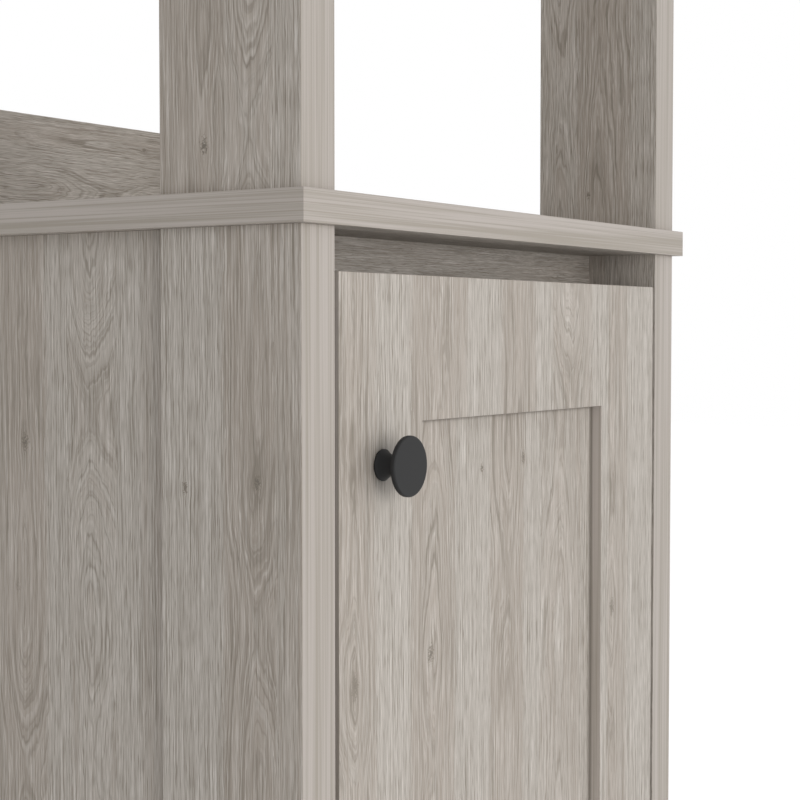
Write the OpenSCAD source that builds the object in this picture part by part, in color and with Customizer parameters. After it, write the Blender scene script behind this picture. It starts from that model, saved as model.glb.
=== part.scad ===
// Tall storage cabinet: a cupboard with one inset door under a counter, and open
// bays between four flat posts above it.
// The origin is on the floor, under the middle of the cabinet with its knob.
// X runs to the right, Y to the back and Z up. All sizes are in millimetres.

/* [Overall] */
// Width over the counter and the top panel
overall_w = 400; // [340:10:600]
// Depth over the counter and the top panel
overall_d = 400; // [340:10:500]
// Height of the whole cabinet
overall_h = 1600; // [1500:10:1900]
// Height of the counter's upper face above the floor
counter_h = 820; // [740:10:900]
// How far the counter and the top panel stand out past the posts
overhang = 5; // [5:1:15]

/* [Boards] */
// Thickness of the counter
counter_t = 15; // [12:1:25]
// Thickness of the top panel
top_t = 15; // [12:1:25]
// Thickness of the bottom, inner and upper shelves
shelf_t = 15; // [14:1:22]
// Thickness of the side panels
side_t = 15; // [12:1:20]
// Thickness of the rails
rail_t = 15; // [12:1:20]
// Thickness of the back panel
back_t = 3; // [2:0.5:3.5]

/* [Posts] */
// Width of a post, across the cabinet
post_w = 25; // [22:1:40]
// Depth of a post, front to back
post_d = 80; // [76:1:100]
// Height of the glide under each post
glide_h = 4; // [3:0.5:8]
// Diameter of a glide
glide_d = 20; // [14:1:22]

/* [Rails and shelves] */
// Height of the bottom shelf's underside above the floor
base_h = 85; // [70:5:150]
// Distance from the posts' front faces to the two front rails
rail_setback = 45; // [38:1:58]
// Height of the front rail, under the counter
front_rail_h = 60; // [45:5:70]
// Height of the kick rail, under the bottom shelf
kick_rail_h = 50; // [40:5:60]
// Height of the back rails
back_rail_h = 80; // [50:5:120]
// Height of the upper shelf's upper face above the counter
upper_shelf_rise = 395; // [250:5:480]
// Distance from the posts' front faces to the inner shelf
shelf_setback = 50; // [45:1:60]
// Play between the inner shelf and each post
shelf_play = 1; // [0.5:0.5:2]
// Number of heights that the inner shelf can be set to
shelf_steps = 7; // [3:2:9]
// Distance between those heights
step_pitch = 32; // [20:1:32]

/* [Door] */
// Thickness of the door
door_t = 18; // [16:1:22]
// Gap at the sides and the foot of the door
door_gap = 3; // [2:0.5:4]
// Gap between the door and the counter
head_gap = 20; // [5:1:40]
// Width of the raised frame round the door's recess
frame_w = 70; // [60:1:90]
// Depth of the door's recess
recess_depth = 7; // [2:0.5:9]

/* [Knob] */
// Diameter of the knob's disc
knob_d = 28.5; // [20:0.5:40]
// Thickness of the knob's disc
knob_disc_t = 2.8; // [2:0.1:4]
// Diameter of the knob's foot
knob_foot_d = 15; // [12:1:18]
// Diameter of the knob's neck
knob_neck_d = 9.6; // [8:0.2:11]
// How far the knob stands out from the door
knob_projection = 16; // [14:1:30]
// Distance from the top of the door down to the knob's centre
knob_drop = 89; // [60:1:150]

/* [Hinges and catch] */
// Distance from each end of the door to its hinge
hinge_inset = 100; // [75:5:150]
// Diameter of a hinge cup
cup_d = 35; // [33:1:38]
// Distance from the door's edge to the hinge cup
cup_margin = 5; // [4:0.5:6]
// Distance from the door's front face to the hinge pin
pin_front = 9.8; // [9.4:0.1:10.2]
// Diameter of a hinge pin
hinge_pin_d = 3; // [2.5:0.1:3.5]
// Width of a hinge arm, along the pin
arm_w = 12; // [10:1:16]
// Length of the catch's housing, along the post
catch_l = 34; // [28:1:44]

/* [Fasteners] */
// Diameter of the wooden dowels
dowel_d = 8; // [6:0.5:8]
// How deep a dowel or a stud goes into a post's end
post_dowel_l = 30; // [20:1:40]
// Diameter of the studs through the counter
stud_d = 6; // [5:0.5:8]
// Diameter of a cam lock
cam_d = 15; // [12:1:18]
// Diameter of the pins under the inner shelf
shelf_pin_d = 5; // [4:0.5:7]
// Distance from the ends of the back panel to its first and last nails
nail_inset = 30; // [15:5:60]
// Number of nails along each side of the back panel
nail_count = 4; // [3:1:7]
// Distance between the two wall holes in the head rail
wall_hole_pitch = 200; // [120:5:220]
// Diameter of the wall holes
wall_hole_d = 5.5; // [4:0.5:8]

/* [Hidden] */
$fn = 48;
// How far a cut runs past the face that it opens
cut = 1;

// Colours of the finishes
oak = [0.68, 0.64, 0.60];
hidden_oak = [0.60, 0.57, 0.53];
beech = [0.82, 0.69, 0.50];
black = [0.16, 0.16, 0.16];
steel = [0.72, 0.73, 0.75];
pale_plastic = [0.85, 0.85, 0.83];

// Planes of the carcass
back_edge_x = overall_w / 2 - overhang - post_w / 4;
total_d = overall_d - overhang + knob_projection;
front_y = knob_projection - total_d / 2;
rear_y = total_d / 2 - overhang;
post_x = overall_w / 2 - overhang;
inner_x = post_x - post_w;
post_mid_x = post_x - post_w / 2;
front_post_y = front_y + post_d / 2;
rear_post_y = rear_y - post_d / 2;
side_inset = (post_w - side_t) / 2;
side_out_x = post_x - side_inset;
side_in_x = side_out_x - side_t;
counter_z = counter_h - counter_t;
top_z = overall_h - top_t;
upper_shelf_z = counter_h + upper_shelf_rise;
bottom_z = base_h + shelf_t;
sides = [-1, 1];

// The door and what it carries
door_w = 2 * (inner_x - door_gap);
door_z = bottom_z + door_gap;
door_top = counter_z - head_gap;
door_back_y = front_y + door_t;
knob_x = frame_w / 2 - door_w / 2;
knob_z = door_top - knob_drop;

// Dowels: rails and panels are pinned by short dowels, posts by longer ones
dowel_in_post = 7;
dowel_in_board = 22;
dowel_in_top = 9;
post_dowel_offset = 22;
panel_dowel_inset = 60;
rail_dowel_share = 1 / 4;

// The inner shelf stands on four pins, in one of the rows of holes
row_mid_z = (bottom_z + counter_z - front_rail_h) / 2;
pin_hole_depth = 10;
pin_tongue_l = 9;
pin_tongue_w = 10;
pin_tongue_t = 2.5;
pin_from_shelf_edge = 14;
row_front_y = front_y + shelf_setback + pin_from_shelf_edge;
inner_shelf_z = row_mid_z;
row_drop = shelf_pin_d / 2;

// Cam fittings of the bottom and upper shelves
cam_from_edge = 24;
cam_top_skin = 2.5;
cam_bolt_d = 6;
cam_bolt_thread_l = 10;
cam_bore_play = 0.5;

// Screws and nails: shank diameter, head diameter and head thickness, then their lengths
wood_screw = [3.5, 7, 1.6];
small_screw = [2.6, 5, 1.2];
machine_screw = [4, 8, 2];
top_screw = [6, 12, 3];
nail = [1.6, 4, 0.8];
plate_screw_l = 14;
cup_screw_l = 11;
small_screw_l = 10;
top_screw_l = 50;
nail_l = 16;
arm_screw_l = 8;
knob_screw_short = 4;
glide_nail_d = 3;
glide_nail_l = 16;
cap_t = 1;

// The hinge: one pin across the cup, and an arm that bends round the door's edge
cup_wall = 1;
cup_flange_t = 1.2;
cup_floor_gap = 0.6;
cup_ear_pitch = 48;
cup_ear_shift = 6;
cup_ear_d = 12;
cup_flange_d = cup_d + 3;
knuckle_d = hinge_pin_d + 2.8;
pin_play = 0.05;
arm_t = 2.5;
arm_clear = 1;
cup_clear = 0.7;
cup_to_edge = cup_margin + cup_d / 2;
pin_depth = door_t - pin_front;
cup_depth = pin_depth + knuckle_d / 2 + cup_floor_gap + cup_wall;
hinge_x = inner_x - door_gap - cup_to_edge;
hinge_y = front_y + pin_front;
hinge_upper_z = door_top - hinge_inset;
hinge_lower_z = door_z + hinge_inset;
hinge_zs = [hinge_lower_z, hinge_upper_z];
wall_from_pin = door_gap + cup_to_edge;
swing_r = sqrt(pow(cup_to_edge, 2) + pow(pin_front, 2));
cup_half_chord = sqrt(pow(cup_d / 2 - cup_wall, 2) - pow(arm_w / 2, 2));
stem_x = arm_t / 2 + cup_clear - cup_half_chord;
stem_low_y = knuckle_d / 2 + cup_floor_gap;
bridge_y = max(swing_r, pin_depth + cup_flange_t) + 2 * arm_clear + arm_t / 2;
spine_x = wall_from_pin / 2;
spine_overrun = 3;
plate_t = 2;
plate_w = 14;
plate_l = 44;
plate_screw_pitch = 32;
pedestal_w = 10;
pedestal_l = 24;
pedestal_from_bridge = 6;
plate_mid_y = bridge_y + pedestal_from_bridge + pedestal_l / 2;

// The catch: a magnet in a housing on the left post, and a strike on the door
strike_t = 1.5;
strike_w = 10;
strike_l = 44;
strike_screw_pitch = 32;
strike_from_edge = 1;
catch_gap = 0.3;
catch_w = 16;
catch_d = 18;
catch_ear_t = 3;
catch_ear_l = 10;
magnet_w = 8;
magnet_d = 10;
magnet_inset = 5;
magnet_proud = 0.4;
catch_front_y = door_back_y + strike_t + catch_gap + magnet_proud;
strike_x = strike_from_edge + strike_w / 2 - door_w / 2;

// A board between pairs of planes
module board(x, y, z)
    translate([x[0], y[0], z[0]])
        cube([x[1] - x[0], y[1] - y[0], z[1] - z[0]]);

// A rod along X, Y or Z that starts at the given point
module rod_x(at, d, l) translate(at) rotate([0, 90, 0]) cylinder(d = d, h = l);
module rod_y(at, d, l) translate(at) rotate([-90, 0, 0]) cylinder(d = d, h = l);
module rod_z(at, d, l) translate(at) cylinder(d = d, h = l);

// A screw or nail with its head on +Z and the underside of its head at the origin
module screw(kind, l) {
    translate([0, 0, -l]) cylinder(d = kind[0], h = l);
    cylinder(d = kind[1], h = kind[2]);
}

// One drawing at the front and at the rear posts
module at_posts() for (x = sides) for (y = [front_post_y, rear_post_y])
    translate([x * post_mid_x, y, 0]) children();

// A piece from the right side is put on the side that is asked for
module on_side(side) mirror([side < 0 ? 1 : 0, 0, 0]) children();

// Posts
module lower_post(side, rear) {
    y = rear ? [rear_y - post_d, rear_y] : [front_y, front_y + post_d];
    x = side > 0 ? [inner_x, post_x] : [-post_x, -inner_x];
    color(oak) difference() {
        board(x, y, [glide_h, counter_z]);
        glide_nails();
        counter_dowels();
        counter_studs();
        side_panel_dowels();
        front_rail_dowels();
        shelf_pin_holes();
        cam_bolt_set(base_h + shelf_t / 2);
        back_panel_nails();
        hinge_plate_screws();
        catch_screws();
    }
}

module upper_post(side, rear) {
    y = rear ? [rear_y - post_d, rear_y] : [front_y, front_y + post_d];
    x = side > 0 ? [inner_x, post_x] : [-post_x, -inner_x];
    color(oak) difference() {
        board(x, y, [counter_h, top_z]);
        counter_dowels();
        counter_studs();
        top_dowels();
        top_screws();
        back_rail_dowels();
        cam_bolt_set(upper_shelf_z - shelf_t / 2);
    }
}

module lower_post_front_left() lower_post(-1, false);
module lower_post_front_right() lower_post(1, false);
module lower_post_rear_left() lower_post(-1, true);
module lower_post_rear_right() lower_post(1, true);
module upper_post_front_left() upper_post(-1, false);
module upper_post_front_right() upper_post(1, false);
module upper_post_rear_left() upper_post(-1, true);
module upper_post_rear_right() upper_post(1, true);

// Panels round the cupboard
module side_panel(side) {
    x = side > 0 ? [side_in_x, side_out_x] : [-side_out_x, -side_in_x];
    color(oak) difference() {
        board(x, [front_y + post_d, rear_y - post_d], [base_h, counter_z]);
        side_panel_dowels();
    }
}

module side_panel_left() side_panel(-1);
module side_panel_right() side_panel(1);

module back_panel() color(hidden_oak) difference() {
    board([-back_edge_x, back_edge_x], [rear_y, rear_y + back_t], [base_h, counter_z]);
    back_panel_nails();
}

// A shelf that is cut out round the posts and reaches out to wide_x between them
module notched_shelf(wide_x, z) {
    board([-inner_x, inner_x], [front_y, rear_y], z);
    board([-wide_x, wide_x], [front_y + post_d, rear_y - post_d], z);
}

module bottom_shelf() color(oak) difference() {
    notched_shelf(side_in_x, [base_h, bottom_z]);
    cam_lock_holes(base_h);
}

module upper_shelf() color(oak) difference() {
    notched_shelf(side_out_x, [upper_shelf_z - shelf_t, upper_shelf_z]);
    cam_lock_holes(upper_shelf_z - shelf_t);
}

module inner_shelf() color(oak)
    board([shelf_play - inner_x, inner_x - shelf_play],
          [front_y + shelf_setback, rear_y - shelf_play],
          [inner_shelf_z, inner_shelf_z + shelf_t]);

module counter() color(oak) difference() {
    board([-overall_w / 2, overall_w / 2], [front_y - overhang, rear_y + overhang],
          [counter_z, counter_h]);
    counter_dowels();
    counter_studs();
}

module top_panel() color(oak) difference() {
    board([-overall_w / 2, overall_w / 2], [front_y - overhang, rear_y + overhang],
          [top_z, overall_h]);
    top_dowels();
    top_screws();
    screw_caps();
}

// Rails between the posts
module front_board(z) board([-inner_x, inner_x],
    [front_y + rail_setback, front_y + rail_setback + rail_t], z);
module back_board(z) board([-inner_x, inner_x], [rear_y - rail_t, rear_y], z);

module kick_rail() color(oak) difference() {
    front_board([base_h - kick_rail_h, base_h]);
    front_rail_dowels();
}

module front_rail() color(oak) difference() {
    front_board([counter_z - front_rail_h, counter_z]);
    front_rail_dowels();
}

module back_rail(z) color(oak) difference() {
    back_board([z, z + back_rail_h]);
    back_rail_dowels();
}

module counter_back_rail() back_rail(counter_h);
module upper_back_rail() back_rail(upper_shelf_z);

module head_rail() difference() {
    back_rail(top_z - back_rail_h);
    for (x = sides)
        rod_y([x * wall_hole_pitch / 2, rear_y - rail_t - cut, top_z - back_rail_h / 2],
              wall_hole_d, rail_t + 2 * cut);
}

// Glides: a round foot with a nail up into the post
module glide_nails() at_posts() rod_z([0, 0, glide_h], glide_nail_d, glide_nail_l);

module glide(side, y) color(black) translate([side * post_mid_x, y, 0]) {
    cylinder(d = glide_d, h = glide_h);
    rod_z([0, 0, glide_h], glide_nail_d, glide_nail_l);
}

module glide_front_left() glide(-1, front_post_y);
module glide_front_right() glide(1, front_post_y);
module glide_rear_left() glide(-1, rear_post_y);
module glide_rear_right() glide(1, rear_post_y);

// Dowels and studs through the counter, from each lower post into the upper one
module counter_dowels() color(beech) at_posts()
    rod_z([0, -post_dowel_offset, counter_z - post_dowel_l], dowel_d,
          counter_t + 2 * post_dowel_l);

module counter_studs() color(steel) at_posts()
    rod_z([0, post_dowel_offset, counter_z - post_dowel_l], stud_d,
          counter_t + 2 * post_dowel_l);

// Dowels, screws and caps of the top panel
module top_dowels() color(beech) at_posts()
    rod_z([0, -post_dowel_offset, top_z - post_dowel_l], dowel_d,
          post_dowel_l + dowel_in_top);

module top_screws() color(steel) at_posts()
    translate([0, post_dowel_offset, overall_h - cap_t - top_screw[2]])
        screw(top_screw, top_screw_l);

module screw_caps() color(hidden_oak) at_posts()
    rod_z([0, post_dowel_offset, overall_h - cap_t], top_screw[1], cap_t);

// Dowels along Y, between the side panels and the posts
module side_panel_dowels() color(beech) for (x = sides)
    for (z = [base_h + panel_dowel_inset, (base_h + counter_z) / 2, counter_z - panel_dowel_inset])
        for (y = [front_y + post_d - dowel_in_post,
                  rear_y - post_d - dowel_in_board])
            rod_y([x * post_mid_x, y, z], dowel_d, dowel_in_post + dowel_in_board);

// Dowels along X, two at each end of a rail
module rail_dowels(y, z, h) for (x = sides) for (share = [rail_dowel_share, 1 - rail_dowel_share])
    on_side(x) rod_x([inner_x - dowel_in_board, y, z + h * share], dowel_d,
                     dowel_in_post + dowel_in_board);

module front_rail_dowels() color(beech) {
    mid_y = front_y + rail_setback + rail_t / 2;
    rail_dowels(mid_y, base_h - kick_rail_h, kick_rail_h);
    rail_dowels(mid_y, counter_z - front_rail_h, front_rail_h);
}

module back_rail_dowels() color(beech)
    for (z = [counter_h, upper_shelf_z, top_z - back_rail_h])
        rail_dowels(rear_y - rail_t / 2, z, back_rail_h);

// Cam fittings: a bolt from each post into a cam lock under the shelf
module cam_bolt_set(z) for (x = sides) for (y = [front_post_y, rear_post_y])
    on_side(x) rod_x([inner_x - cam_from_edge, y, z], cam_bolt_d,
                     cam_from_edge + cam_bolt_thread_l);

module cam_bolts() color(steel) {
    cam_bolt_set(base_h + shelf_t / 2);
    cam_bolt_set(upper_shelf_z - shelf_t / 2);
}

module cam_lock_set(z) for (x = sides) for (y = [front_post_y, rear_post_y])
    rod_z([x * (inner_x - cam_from_edge), y, z], cam_d, shelf_t - cam_top_skin);

module cam_lock_bores(z) for (x = sides) for (y = [front_post_y, rear_post_y])
    on_side(x) rod_x([inner_x - cam_from_edge - cam_bolt_d / 2, y, z + shelf_t / 2],
                     cam_bolt_d + 2 * cam_bore_play, cam_from_edge + cam_bolt_d / 2 + cut);

module cam_lock_holes(z) {
    cam_lock_set(z);
    cam_lock_bores(z);
}

module cam_locks() color(steel) for (z = [base_h, upper_shelf_z - shelf_t]) difference() {
    cam_lock_set(z);
    cam_lock_bores(z);
}

// Shelf pins, and the rows of holes that they can stand in
module shelf_pin_row(z) for (x = sides) for (y = [row_front_y, rear_post_y])
    on_side(x) rod_x([inner_x - cut, y, z - row_drop], shelf_pin_d, pin_hole_depth + cut);

module shelf_pin_holes() for (i = [0:shelf_steps - 1])
    shelf_pin_row(row_mid_z + (i - (shelf_steps - 1) / 2) * step_pitch);

module shelf_pins() color(steel) {
    for (x = sides) for (y = [row_front_y, rear_post_y]) {
        on_side(x) rod_x([inner_x - pin_tongue_l, y, inner_shelf_z - row_drop], shelf_pin_d,
                         pin_tongue_l + pin_hole_depth);
        on_side(x) board([inner_x - pin_tongue_l, inner_x],
                         [y - pin_tongue_w / 2, y + pin_tongue_w / 2],
                         [inner_shelf_z - pin_tongue_t, inner_shelf_z]);
    }
}

// Nails round the back panel, with their heads behind it
module back_panel_nails() {
    first_z = base_h + nail_inset;
    pitch = (counter_z - nail_inset - first_z) / (nail_count - 1);
    color(steel) for (x = sides) for (i = [0:nail_count - 1])
        translate([x * post_mid_x, rear_y + back_t, first_z + i * pitch])
            rotate([-90, 0, 0]) screw(nail, nail_l);
}

// Places a piece of a hinge, drawn round its pin, at one or both hinges
module at_hinge(z) translate([hinge_x, hinge_y, z]) children();
module at_hinges() for (z = hinge_zs) at_hinge(z) children();

// Mounting plate on the post: a base with two screws, and a pedestal for the arm
module hinge_plate(z) color(steel) difference() {
    at_hinge(z) {
        board([wall_from_pin - plate_t, wall_from_pin],
              [plate_mid_y - plate_w / 2, plate_mid_y + plate_w / 2], [-plate_l / 2, plate_l / 2]);
        board([spine_x + arm_t / 2, wall_from_pin],
              [plate_mid_y - pedestal_l / 2, plate_mid_y + pedestal_l / 2],
              [-pedestal_w / 2, pedestal_w / 2]);
    }
    hinge_plate_screws();
    hinge_arm_screws();
}

module hinge_plate_upper() hinge_plate(hinge_upper_z);
module hinge_plate_lower() hinge_plate(hinge_lower_z);

module hinge_plate_screws() color(steel) at_hinges() for (z = sides)
    translate([wall_from_pin - plate_t, plate_mid_y, z * plate_screw_pitch / 2])
        rotate([0, -90, 0]) screw(wood_screw, plate_screw_l);

// Arm: a knuckle on the pin, a stem out of the cup, a bridge and a spine
module strip(from, to) {
    run = to - from;
    translate(from) rotate(atan2(run[1], run[0]))
        translate([0, -arm_t / 2]) square([norm(run), arm_t]);
    translate(to) circle(d = arm_t);
}

module hinge_arm(z) {
    stem_foot = [stem_x, stem_low_y];
    stem_head = [stem_x, bridge_y];
    bridge_end = [spine_x, bridge_y];
    spine_end = [spine_x, plate_mid_y + pedestal_l / 2 + spine_overrun];
    color(steel) difference() {
        at_hinge(z) linear_extrude(arm_w, center = true) difference() {
            union() {
                circle(d = knuckle_d);
                strip([0, 0], stem_foot);
                strip(stem_foot, stem_head);
                strip(stem_head, bridge_end);
                strip(bridge_end, spine_end);
            }
            circle(d = hinge_pin_d + 2 * pin_play);
        }
        hinge_arm_screws();
    }
}

module hinge_arm_upper() hinge_arm(hinge_upper_z);
module hinge_arm_lower() hinge_arm(hinge_lower_z);

module hinge_arm_screws() color(steel) at_hinges()
    translate([spine_x - arm_t / 2, plate_mid_y, 0])
        rotate([0, -90, 0]) screw(machine_screw, arm_t + arm_screw_l);

// Cup in the door's back, with a flange on the face and a pin across it
module cup_blank() {
    rotate([-90, 0, 0]) translate([0, 0, pin_depth - cup_depth]) cylinder(d = cup_d, h = cup_depth);
}

module cup_flange() rotate([90, 0, 0]) translate([0, 0, -pin_depth - cup_flange_t])
    linear_extrude(cup_flange_t) {
        circle(d = cup_flange_d);
        for (z = sides) translate([-cup_ear_shift, z * cup_ear_pitch / 2]) circle(d = cup_ear_d);
        translate([-cup_ear_shift - cup_ear_d / 2, -cup_ear_pitch / 2])
            square([cup_ear_d, cup_ear_pitch]);
    }

module hinge_cup(z) color(steel) difference() {
    at_hinge(z) difference() {
        union() {
            cup_blank();
            cup_flange();
        }
        rotate([-90, 0, 0]) translate([0, 0, pin_depth - cup_depth + cup_wall])
            cylinder(d = cup_d - 2 * cup_wall, h = cup_depth + cup_flange_t);
    }
    hinge_pin(z);
    hinge_cup_screws();
}

module hinge_cup_upper() hinge_cup(hinge_upper_z);
module hinge_cup_lower() hinge_cup(hinge_lower_z);

module hinge_pin(z) color(steel) at_hinge(z)
    rod_z([0, 0, -cup_d / 2 + cup_wall / 2], hinge_pin_d, cup_d - cup_wall);

module hinge_pin_upper() hinge_pin(hinge_upper_z);
module hinge_pin_lower() hinge_pin(hinge_lower_z);

module hinge_cup_screws() color(steel) at_hinges() for (z = sides)
    translate([-cup_ear_shift, pin_depth + cup_flange_t, z * cup_ear_pitch / 2])
        rotate([-90, 0, 0]) screw(wood_screw, cup_screw_l);

// Magnetic catch on the left post, and the strike on the door
module catch_housing() color(pale_plastic) difference() {
    union() {
        board([-inner_x, catch_w - inner_x], [catch_front_y, catch_front_y + catch_d],
              [knob_z - catch_l / 2, knob_z + catch_l / 2]);
        board([-inner_x, catch_ear_t - inner_x], [catch_front_y, catch_front_y + catch_d],
              [knob_z - catch_l / 2 - catch_ear_l, knob_z + catch_l / 2 + catch_ear_l]);
    }
    catch_magnet();
    catch_screws();
}

module catch_magnet() color(black)
    board([strike_x - magnet_w / 2, strike_x + magnet_w / 2],
          [catch_front_y - magnet_proud, catch_front_y + magnet_d],
          [knob_z - catch_l / 2 + magnet_inset, knob_z + catch_l / 2 - magnet_inset]);

module catch_screws() color(steel) for (z = sides)
    translate([catch_ear_t - inner_x, catch_front_y + catch_d / 2,
               knob_z + z * (catch_l + catch_ear_l) / 2])
        rotate([0, 90, 0]) screw(small_screw, catch_ear_t + small_screw_l);

module strike_plate() color(steel) difference() {
    board([strike_x - strike_w / 2, strike_x + strike_w / 2],
          [door_back_y, door_back_y + strike_t],
          [knob_z - strike_l / 2, knob_z + strike_l / 2]);
    strike_screws();
}

module strike_screws() color(steel) for (z = sides)
    translate([strike_x, door_back_y + strike_t - small_screw[2], knob_z + z * strike_screw_pitch / 2])
        rotate([-90, 0, 0]) screw(small_screw, small_screw_l);

// Door: one board with a recess, a knob and its screw
module door_leaf() color(oak) difference() {
    board([-door_w / 2, door_w / 2], [front_y, door_back_y], [door_z, door_top]);
    board([frame_w - door_w / 2, door_w / 2 - frame_w], [front_y - cut, front_y + recess_depth],
          [door_z + frame_w, door_top - frame_w]);
    at_hinges() cup_blank();
    hinge_cup_screws();
    strike_screws();
    knob_screw();
}

// Outline of the knob, from its axis outwards, with its foot on the line y = 0
foot_edge = 0.5;
foot_h = 1;
flare_h = 2;
flare_r = 1.5;
knob_edge_r = knob_disc_t / 2;
knob_rim = [for (a = [-90:15:90])
    [knob_d / 2 - knob_edge_r + knob_edge_r * cos(a),
     knob_projection - knob_edge_r + knob_edge_r * sin(a)]];
neck_h = knob_projection - knob_disc_t;
knob_waist = [for (t = [0:0.1:1])
    [knob_foot_d / 2 + (knob_neck_d - knob_foot_d) / 2 * sin(90 * t),
     foot_h + (neck_h - foot_h - flare_h) * t]];

module knob() color(black) difference() {
    translate([knob_x, front_y, knob_z]) rotate([90, 0, 0]) rotate_extrude()
        polygon(concat([[0, 0], [knob_foot_d / 2 - foot_edge, 0], [knob_foot_d / 2, foot_edge]],
                       knob_waist, [[knob_neck_d / 2 + flare_r, neck_h]], knob_rim,
                       [[0, knob_projection]]));
    knob_screw();
}

module knob_screw() color(steel) translate([knob_x, door_back_y, knob_z])
    rotate([-90, 0, 0]) screw(machine_screw, door_t + neck_h - knob_screw_short);

lower_post_front_left();
lower_post_front_right();
lower_post_rear_left();
lower_post_rear_right();
upper_post_front_left();
upper_post_front_right();
upper_post_rear_left();
upper_post_rear_right();
side_panel_left();
side_panel_right();
back_panel();
bottom_shelf();
kick_rail();
front_rail();
counter();
inner_shelf();
upper_shelf();
counter_back_rail();
upper_back_rail();
head_rail();
top_panel();
glide_front_left();
glide_front_right();
glide_rear_left();
glide_rear_right();
shelf_pins();
counter_dowels();
counter_studs();
top_dowels();
top_screws();
screw_caps();
side_panel_dowels();
front_rail_dowels();
back_rail_dowels();
cam_bolts();
cam_locks();
back_panel_nails();
hinge_plate_upper();
hinge_plate_lower();
hinge_plate_screws();
hinge_arm_upper();
hinge_arm_lower();
hinge_arm_screws();
catch_housing();
catch_magnet();
catch_screws();
door_leaf();
knob();
knob_screw();
hinge_cup_upper();
hinge_cup_lower();
hinge_pin_upper();
hinge_pin_lower();
hinge_cup_screws();
strike_plate();
strike_screws();
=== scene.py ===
"""Dresses the tall storage cabinet: its oak boards, its knob and fittings, and the stage it stands on."""

import math

import bmesh
import bpy
from mathutils import Matrix, Vector


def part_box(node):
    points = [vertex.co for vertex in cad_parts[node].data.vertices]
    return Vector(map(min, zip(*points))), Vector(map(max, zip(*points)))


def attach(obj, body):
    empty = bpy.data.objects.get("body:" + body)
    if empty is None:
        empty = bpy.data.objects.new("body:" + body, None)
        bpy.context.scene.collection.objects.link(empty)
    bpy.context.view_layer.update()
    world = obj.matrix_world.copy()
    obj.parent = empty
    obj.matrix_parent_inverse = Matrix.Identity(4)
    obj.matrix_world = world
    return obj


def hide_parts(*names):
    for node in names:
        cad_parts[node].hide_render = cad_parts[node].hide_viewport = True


bl_info = {
    "name": "Tall Storage Cabinet",
    "version": (1, 0, 0),
    "blender": (4, 5, 0),
    "location": "3D View > Sidebar > Cabinet",
    "description": "Gives the cabinet's solids their boards, fittings and finishes, and lights them",
    "category": "Object",
}

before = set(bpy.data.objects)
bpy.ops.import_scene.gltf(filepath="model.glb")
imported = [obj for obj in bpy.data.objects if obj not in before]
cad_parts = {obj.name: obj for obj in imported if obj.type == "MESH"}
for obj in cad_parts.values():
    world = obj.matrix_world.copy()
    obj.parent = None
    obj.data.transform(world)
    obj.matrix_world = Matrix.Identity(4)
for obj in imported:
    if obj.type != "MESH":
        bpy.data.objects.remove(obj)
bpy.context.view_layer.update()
MM = 0.001
SAME_PLACE = 0.002 * MM
AXES = {"X": Vector((1, 0, 0)), "Y": Vector((0, 1, 0)), "Z": Vector((0, 0, 1))}
SIDES = ("left", "right")
CORNERS = [f"{end}_{side}" for end in ("front", "rear") for side in SIDES]

UPRIGHTS = [f"{level}_post_{corner}" for level in ("lower", "upper") for corner in CORNERS]
UPRIGHTS += [f"side_panel_{side}" for side in SIDES]
FLAT_BOARDS = ["counter", "top_panel", "bottom_shelf", "inner_shelf", "upper_shelf"]
RAILS = ["kick_rail", "front_rail", "counter_back_rail", "upper_back_rail", "head_rail"]
GLIDES = [f"glide_{corner}" for corner in CORNERS]
DOWELS = {
    "X": ["front_rail_dowels", "back_rail_dowels"],
    "Y": ["side_panel_dowels"],
    "Z": ["counter_dowels", "top_dowels"],
}
STEEL = ["counter_studs", "top_screws", "cam_bolts", "shelf_pins", "back_panel_nails", "strike_plate"]
STEEL += [f"hinge_{part}_{place}" for part in ("plate", "arm", "cup", "pin") for place in ("upper", "lower")]

# How the boards are cut from the printed sheet: the boards, the ways that run across and along their grain,
# and in millimetres the first board's place on the sheet and the step to the next
LAYINGS = {
    "upright": (UPRIGHTS, "Y", "Z", (0, 0), (137, 911)),
    "flat": (FLAT_BOARDS, "Y", "X", (57, 2400), (171, 733)),
    "rail": (RAILS, "Z", "X", (23, 5200), (119, 657)),
}
BACK_PANEL_SHEET = (700, 3600)

# Shares of a screw: its head's crown, recess and rounded edge, how much a recess narrows, and its tip
HEAD_CROWN = 0.3
HEAD_RECESS = 0.55
HEAD_EDGE = 0.12
RECESS_TAPER = 0.8
SHANK_TIP = 0.6
CAM_RECESS = 2.5 * MM

# Each set of screws: its body, the way its heads face, and in millimetres the head's thickness and the
# shank's diameter
SCREWS = {
    "hinge_plate_screws": ("carcass", (-1, 0, 0), 1.6, 3.5),
    "hinge_arm_screws": ("carcass", (-1, 0, 0), 2.0, 4.0),
    "hinge_cup_screws": ("door", (0, 1, 0), 1.6, 3.5),
    "catch_screws": ("carcass", (1, 0, 0), 1.2, 2.6),
    "strike_screws": ("door", (0, 1, 0), 1.2, 2.6),
    "knob_screw": ("door", (0, 1, 0), 2.0, 4.0),
}

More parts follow.
